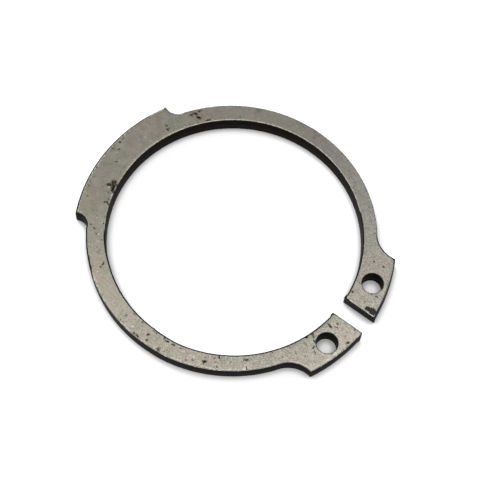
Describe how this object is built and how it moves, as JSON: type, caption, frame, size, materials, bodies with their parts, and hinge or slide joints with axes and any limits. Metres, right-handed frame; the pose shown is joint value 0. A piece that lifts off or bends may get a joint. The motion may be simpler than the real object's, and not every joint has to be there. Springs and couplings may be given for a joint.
{
  "type": "circlip retaining ring",
  "caption": "Flat external circlip: open spring steel ring with tapered band, drilled plier lugs at the gap and a wide raised tab opposite.",
  "frame": {"origin": "on the bore axis, midway between the two flat faces", "axes": "+Z along the bore axis, +X through the middle of the gap between the lugs, so the tab is on the -X side"},
  "size_m": [0.0371, 0.0334, 0.002],
  "materials": {
    "spring_steel": "ground faces, dark phosphated sheared walls, worn edges"
  },
  "bodies": {
    "root": {"retaining_ring": "spring_steel"}
  },
  "joints": []
}
